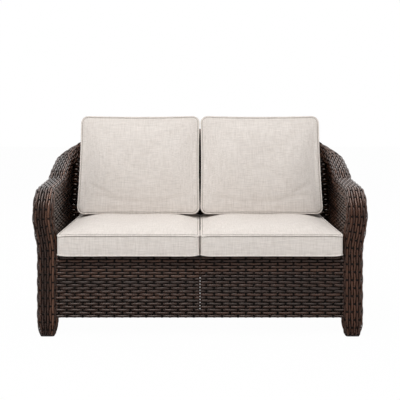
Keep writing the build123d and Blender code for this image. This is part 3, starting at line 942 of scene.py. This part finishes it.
def cushion_form(name, width, height, thick, corner, crown, rear_low=0.0, rear_in=0.0):
    """A boxed cushion on its rear face, with rounded corners, bevelled seams and a crown in front.

    rear_low lifts the lower edge of the rear face, and rear_in draws that face in."""
    bpy.ops.object.select_all(action="DESELECT")
    bpy.ops.mesh.primitive_cube_add(size=1, location=(0, 0, 0))
    piece = bpy.context.object
    piece.name = name
    bpy.ops.object.mode_set(mode="EDIT")
    bpy.ops.mesh.select_all(action="SELECT")
    bpy.ops.transform.resize(value=(width, height, thick))
    bpy.ops.transform.translate(value=(0, 0, thick / 2))
    choose("FACE", lambda face: face.normal.z < -0.9)
    rear_height = height - rear_low - 2 * rear_in
    rear_size = (1 - 2 * rear_in / width, rear_height / height, 1)
    bpy.ops.transform.resize(value=rear_size, center_override=(0, 0, 0))
    bpy.ops.transform.translate(value=(0, rear_low / 2, 0))
    choose("EDGE", upright_edge)
    bpy.ops.mesh.bevel(offset=corner, segments=6, affect="EDGES")
    choose("EDGE", seam_edge)
    bpy.ops.mesh.bevel(offset=seam_bevel, segments=1, affect="EDGES")
    before = 1.0
    risen = 0.0
    for size, rise in crown_steps:
        choose("FACE", lambda face, level=thick + risen * crown: front_face(face, level))
        bpy.ops.mesh.extrude_region_move(TRANSFORM_OT_translate={"value": (0, 0, (rise - risen) * crown)})
        bpy.ops.transform.resize(value=(size / before, size / before, 1), center_override=(0, 0, 0))
        before = size
        risen = rise
    bpy.ops.object.mode_set(mode="OBJECT")
    piece.data.remesh_voxel_size = voxel
    bpy.ops.object.voxel_remesh()
    return piece


def pinched(x, y, z, width, height, thick):
    """Height of a point of a cushion once its corners are pinched between its two faces."""
    reach = Vector((width / 2 - abs(x), height / 2 - abs(y))).length
    near = max(1 - reach / pinch_reach, 0)
    return z + (thick / 2 - z) * 2 * pinch * near * near / thick


def draw_in(piece, width, height, thick, draws):
    """Pulls the sides of a cushion in between its corners, and pinches the corners."""
    low_draw, side, high_draw = draws
    for vert in piece.data.vertices:
        vert.co.z = pinched(*vert.co, width, height, thick)
        x = 2 * vert.co.x / width
        y = 2 * vert.co.y / height
        vert.co.x -= side * x * max(1 - y * y, 0) * abs(x)
        vert.co.y -= (low_draw if y < 0 else high_draw) * y * max(1 - x * x, 0) * abs(y)


def filled(piece, thick, crown, full_crown, side_swell, zip_side=False):
    """Blows a cushion up as its filling does, with its seams and rear face held.

    The side with a zip is held too. The swell in front is then brought to the full crown,
    and the sides' swell is limited."""
    rest = [vert.co.copy() for vert in piece.data.vertices]
    held = piece.vertex_groups.new(name="held")
    half_x = max(point.x for point in rest)
    half_y = max(point.y for point in rest)
    fixed = []
    for index, point in enumerate(rest):
        rim = abs(point.x) > half_x - seam_width or abs(point.y) > half_y - seam_width
        seam = rim and abs(point.z - thick) < seam_bevel + seam_slack
        flat = zip_side and point.y > half_y - zip_side_depth
        if flat or seam or point.z < seam_bevel:
            fixed.append(index)
    held.add(fixed, 1.0, "REPLACE")
    cloth = piece.modifiers.new("filling", "CLOTH")
    settings = cloth.settings
    settings.quality = 5
    settings.mass = 0.3
    settings.tension_stiffness = 18
    settings.compression_stiffness = 18
    settings.shear_stiffness = 6
    settings.bending_stiffness = 0.6
    settings.use_pressure = True
    settings.uniform_pressure_force = 4
    settings.vertex_group_mass = "held"
    settings.effector_weights.gravity = 0
    cloth.point_cache.frame_start = 1
    cloth.point_cache.frame_end = filling_steps
    for step in range(filling_steps):
        bpy.context.scene.frame_set(step + 1)
    bpy.ops.object.modifier_apply(modifier=cloth.name)
    bpy.context.scene.frame_set(1)
    moved = [vert.co - point for vert, point in zip(piece.data.vertices, rest)]
    swell = max(move.z for move in moved)
    side = max(max(abs(move.x), abs(move.y)) for move in moved)
    up_share = (full_crown - crown) / swell
    side_share = min(side_swell / side, 1)
    for vert, point, move in zip(piece.data.vertices, rest, moved):
        vert.co = point + Vector((move.x * side_share, move.y * side_share, move.z * up_share))
    piece.vertex_groups.clear()


def dented(piece):
    """Presses the soft dents into the front of a back cushion, each a place, a size, a turn and a depth."""
    for vert in piece.data.vertices:
        if vert.co.z < back_thick:
            continue
        for x, y, long, short, turn, depth in back_dents:
            along = (vert.co.x - x) * cos(turn) + (vert.co.y - y) * sin(turn)
            across = (vert.co.y - y) * cos(turn) - (vert.co.x - x) * sin(turn)
            vert.co.z -= depth * exp(-((along / long) ** 2) - (across / short) ** 2)


def evened(piece):
    """Evens out the small steps of the remeshed surface."""
    smooth = piece.modifiers.new("evened", "SMOOTH")
    smooth.factor = 0.5
    smooth.iterations = even_steps
    bpy.ops.object.modifier_apply(modifier=smooth.name)


def welt_ring(points, radius=welt_radius):
    """A corded seam along a closed line of points."""
    curve = bpy.data.curves.new("welt", "CURVE")
    curve.dimensions = "3D"
    curve.bevel_depth = radius
    curve.bevel_resolution = 2
    line = curve.splines.new("POLY")
    line.points.add(len(points) - 1)
    for knot, point in zip(line.points, points):
        knot.co = (*point, 1)
    line.use_cyclic_u = True
    ring = bpy.data.objects.new("welt", curve)
    bpy.context.collection.objects.link(ring)
    bpy.ops.object.select_all(action="DESELECT")
    ring.select_set(True)
    bpy.context.view_layer.objects.active = ring
    bpy.ops.object.convert(target="MESH")
    return bpy.context.object


def on_cloth(piece, points, lift):
    """A line of points brought onto the cloth and a little way out of it."""
    line = []
    for point in points:
        place, normal = piece.closest_point_on_mesh(Vector(point))[1:3]
        line.append(place + normal * lift)
    return line


def crease_line(width, height, corner, thick, draws):
    """The line just inside a front welt, where the cloth turns in."""
    size = (width - 2 * crease_inset, height - 2 * crease_inset)
    line = edge_line(*size, corner - crease_inset, draws, crease_steps)
    return [(point.x, point.y, thick) for point in line]


def crease_shade_lines(piece, rings):
    """Thin dark tubes on the cloth beside a welt: a painted shade where the cloth turns in."""
    crease_shades = [welt_ring(on_cloth(piece, ring, crease_lift), crease_radius) for ring in rings]
    for crease in crease_shades:
        crease.data.materials.append(seam_painted_shade)
    return crease_shades


def joined(name, parts):
    """Several pieces as one."""
    bpy.ops.object.select_all(action="DESELECT")
    for part in parts:
        part.select_set(True)
    bpy.context.view_layer.objects.active = parts[0]
    bpy.ops.object.join()
    piece = bpy.context.object
    piece.name = name
    return piece


def corded(name, piece, rings, crease_shades):
    """Gives a cushion its cloth, and makes its welts and the painted shade lines of its creases one piece."""
    piece.data.materials.append(linen)
    for ring in rings:
        ring.data.materials.append(painted_light_piping)
    return joined(name, rings + crease_shades)


def other_side(piece, name):
    """A mirrored copy on the -X side, with its own mesh."""
    mesh = piece.data.copy()
    mesh.transform(Matrix.Scale(-1, 4, (1, 0, 0)))
    mesh.flip_normals()
    twin = bpy.data.objects.new(name, mesh)
    bpy.context.collection.objects.link(twin)
    return twin


def dressed(piece, slot, body, *replaced):
    """Gives a soft piece its body and hides the solids that it stands for. slot is not used."""
    piece.data.polygons.foreach_set("use_smooth", [True] * len(piece.data.polygons))
    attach(piece, body)
    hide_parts(*replaced)


def both_sides(kind, piece, welts):
    """Finishes a cushion and its welts on the +X side and their mirror images."""
    twin = other_side(piece, f"{kind}_cushion_left")
    welts_twin = other_side(welts, f"{kind}_piping_left")
    for name, form, cords in (("right", piece, welts), ("left", twin, welts_twin)):
        body = f"{kind}_cushion_{name}"
        dressed(form, "cushion_cloth", body, f"{kind}_cover_{name}", f"{kind}_core_{name}")
        dressed(cords, "welt_cloth", body, f"{kind}_welts_{name}")


def seat_cushion():
    """The seat cushion and its two welts."""
    width = seat_end_x - half_gap - 2 * welt_proud
    depth = seat_rear_y - seat_front_y - 2 * welt_proud
    draws = (front_draw, seat_draw, 0)
    place = Matrix.Translation(((seat_end_x + half_gap) / 2, (seat_front_y + seat_rear_y) / 2, seat_low_z))
    start_crown = seat_crown * start_share
    piece = cushion_form("seat_cushion_right", width, depth, seat_thick, seat_corner, start_crown)
    draw_in(piece, width, depth, seat_thick, draws)
    filled(piece, seat_thick, start_crown, seat_crown, seat_swell, zip_side=True)
    evened(piece)
    inset = welt_radius - welt_proud
    line = edge_line(width - 2 * inset, depth - 2 * inset, seat_corner - inset, draws, welt_steps)
    box = (width, depth, seat_thick)
    rings = []
    for level in (welt_level, seat_thick - welt_level):
        rings.append(welt_ring([(p.x, p.y, pinched(p.x, p.y, level, *box)) for p in line]))
    top = crease_line(width, depth, seat_corner, seat_thick, draws)
    level = seat_thick - crease_level
    side = edge_line(width, depth, seat_corner, draws, crease_steps)
    below = [(p.x, p.y, pinched(p.x, p.y, level, *box)) for p in side]
    welts = corded("seat_piping_right", piece, rings, crease_shade_lines(piece, [top, below]))
    for form in (piece, welts):
        form.data.transform(place)
    both_sides("seat", piece, welts)


def back_cushion():
    """The back cushion and its two welts. Its front seam is at z = back_thick in its own frame."""
    wide = back_end_x - half_gap - 2 * welt_proud
    tall = (back_top_z - back_low_z - welt_proud) / cos(back_lean) - welt_proud
    rear_low = back_thick * tan(back_lean)
    lean_up = Vector((0, sin(back_lean), cos(back_lean)))
    outward = Vector((0, -cos(back_lean), sin(back_lean)))
    middle = Vector(((back_end_x + half_gap) / 2, back_front_y, back_low_z + welt_proud)) + lean_up * tall / 2
    place = Matrix((
        (1, 0, 0, middle.x),
        (0, lean_up.y, outward.y, middle.y - outward.y * back_thick),
        (0, lean_up.z, outward.z, middle.z - outward.z * back_thick),
        (0, 0, 0, 1),
    ))
    draws = (front_draw, side_draw, side_draw)
    start_crown = back_crown * start_share
    piece = cushion_form(
        "back_cushion_right", wide, tall, back_thick, back_corner, start_crown, rear_low, back_rear_draw
    )
    draw_in(piece, wide, tall, back_thick, draws)
    filled(piece, back_thick, start_crown, back_crown, back_swell)
    evened(piece)
    dented(piece)
    inset = welt_radius - welt_proud
    rings = []
    for level in (welt_level, back_thick - welt_level):
        draw = back_rear_draw * level / back_thick
        low = level * tan(back_lean) + draw
        high = tall - draw
        size = (wide - 2 * draw - 2 * inset, high - low - 2 * inset)
        line = edge_line(*size, back_corner - inset, draws, welt_steps)
        rise = (low + high - tall) / 2
        line = [(p.x, p.y + rise, back_thick - level) for p in line]
        rings.append(welt_ring([(x, y, pinched(x, y, z, wide, tall, back_thick)) for x, y, z in line]))
    front = crease_line(wide, tall, back_corner, back_thick, draws)
    welts = corded("back_piping_right", piece, rings, crease_shade_lines(piece, [front]))
    for form in (piece, welts):
        form.data.transform(place)
    both_sides("back", piece, welts)


seat_cushion()
back_cushion()

# Studio: a pale floor, a soft sky and large soft lights
bpy.ops.mesh.primitive_plane_add(size=30, location=(0, 0, 0))
floor = bpy.context.object
floor.name = "floor"


def floor_material():
    """A white floor that keeps a soft shadow and meets the white sky."""
    material, tree, shader = new_material("white_floor", 0.9, 0.0)
    shader.inputs["Base Color"].default_value = (0.9, 0.9, 0.9, 1)
    path = tree.nodes.new("ShaderNodeLightPath")
    glow = tree.nodes.new("ShaderNodeEmission")
    mix = tree.nodes.new("ShaderNodeMixShader")
    share = node_of(tree, "ShaderNodeMath", operation="MULTIPLY")
    share.inputs[1].default_value = 0.98
    tree.links.new(path.outputs["Is Camera Ray"], share.inputs[0])
    tree.links.new(share.outputs[0], mix.inputs["Fac"])
    tree.links.new(shader.outputs["BSDF"], mix.inputs[1])
    tree.links.new(glow.outputs["Emission"], mix.inputs[2])
    tree.links.new(mix.outputs["Shader"], tree.nodes["Material Output"].inputs["Surface"])
    return material


floor.data.materials.append(floor_material())


def studio_sky(light_level):
    """A plain sky: white where the camera and reflections see it, and a soft light elsewhere."""
    world = bpy.data.worlds.new("studio_sky")
    bpy.context.scene.world = world
    world.use_nodes = True
    tree = world.node_tree
    plain = tree.nodes["Background"]
    plain.inputs["Color"].default_value = (1, 1, 1, 1)
    plain.inputs["Strength"].default_value = light_level
    seen = tree.nodes.new("ShaderNodeBackground")
    seen.inputs["Color"].default_value = (1, 1, 1, 1)
    path = tree.nodes.new("ShaderNodeLightPath")
    either = node_of(tree, "ShaderNodeMath", operation="ADD", use_clamp=True)
    third = node_of(tree, "ShaderNodeMath", operation="ADD", use_clamp=True)
    both = tree.nodes.new("ShaderNodeMixShader")
    tree.links.new(path.outputs["Is Camera Ray"], either.inputs[0])
    tree.links.new(path.outputs["Is Glossy Ray"], either.inputs[1])
    tree.links.new(either.outputs[0], third.inputs[0])
    tree.links.new(path.outputs["Is Transmission Ray"], third.inputs[1])
    tree.links.new(third.outputs[0], both.inputs["Fac"])
    tree.links.new(plain.outputs["Background"], both.inputs[1])
    tree.links.new(seen.outputs["Background"], both.inputs[2])
    tree.links.new(both.outputs["Shader"], tree.nodes["World Output"].inputs["Surface"])


def soft_light(name, place, target, size, power):
    """A large square lamp that points at a place."""
    lamp = bpy.data.lights.new(name, "AREA")
    lamp.size = size
    lamp.energy = power
    holder = bpy.data.objects.new(name, lamp)
    holder.location = place
    holder.rotation_euler = (Vector(target) - Vector(place)).to_track_quat("-Z", "Y").to_euler()
    holder.visible_camera = False
    bpy.context.collection.objects.link(holder)
    return holder


studio_sky(0.42)
soft_light("key_light", (-1.0, -2.3, 3.6), (0, 0, 0.5), 2.0, 71)
soft_light("fill_light", (1.6, -3.0, 2.4), (0, 0, 0.5), 2.0, 14)
soft_light("top_light", (0, 0.2, 3.4), (0, 0, 0.4), 2.6, 28)
soft_light("rim_light", (0, 2.3, 2.9), (0, 0, 0.6), 2.2, 26)
# A card overhead that only shows as a sheen on the resin, as a reflector does
sheen_card = soft_light("sheen_card", (0, -0.5, 3.0), (0, 0, 0.5), 3.0, 110)
sheen_card.visible_diffuse = False

camera_data = bpy.data.cameras.new("front_camera")
camera_data.sensor_width = 36
camera_data.lens = 59.4
camera_data.shift_y = -0.2195
camera = bpy.data.objects.new("front_camera", camera_data)
camera.location = (0, -3.16, 0.95)
camera.rotation_euler = (pi / 2, 0, 0)
bpy.context.collection.objects.link(camera)
bpy.context.scene.camera = camera
bpy.context.scene.view_settings.view_transform = "Standard"
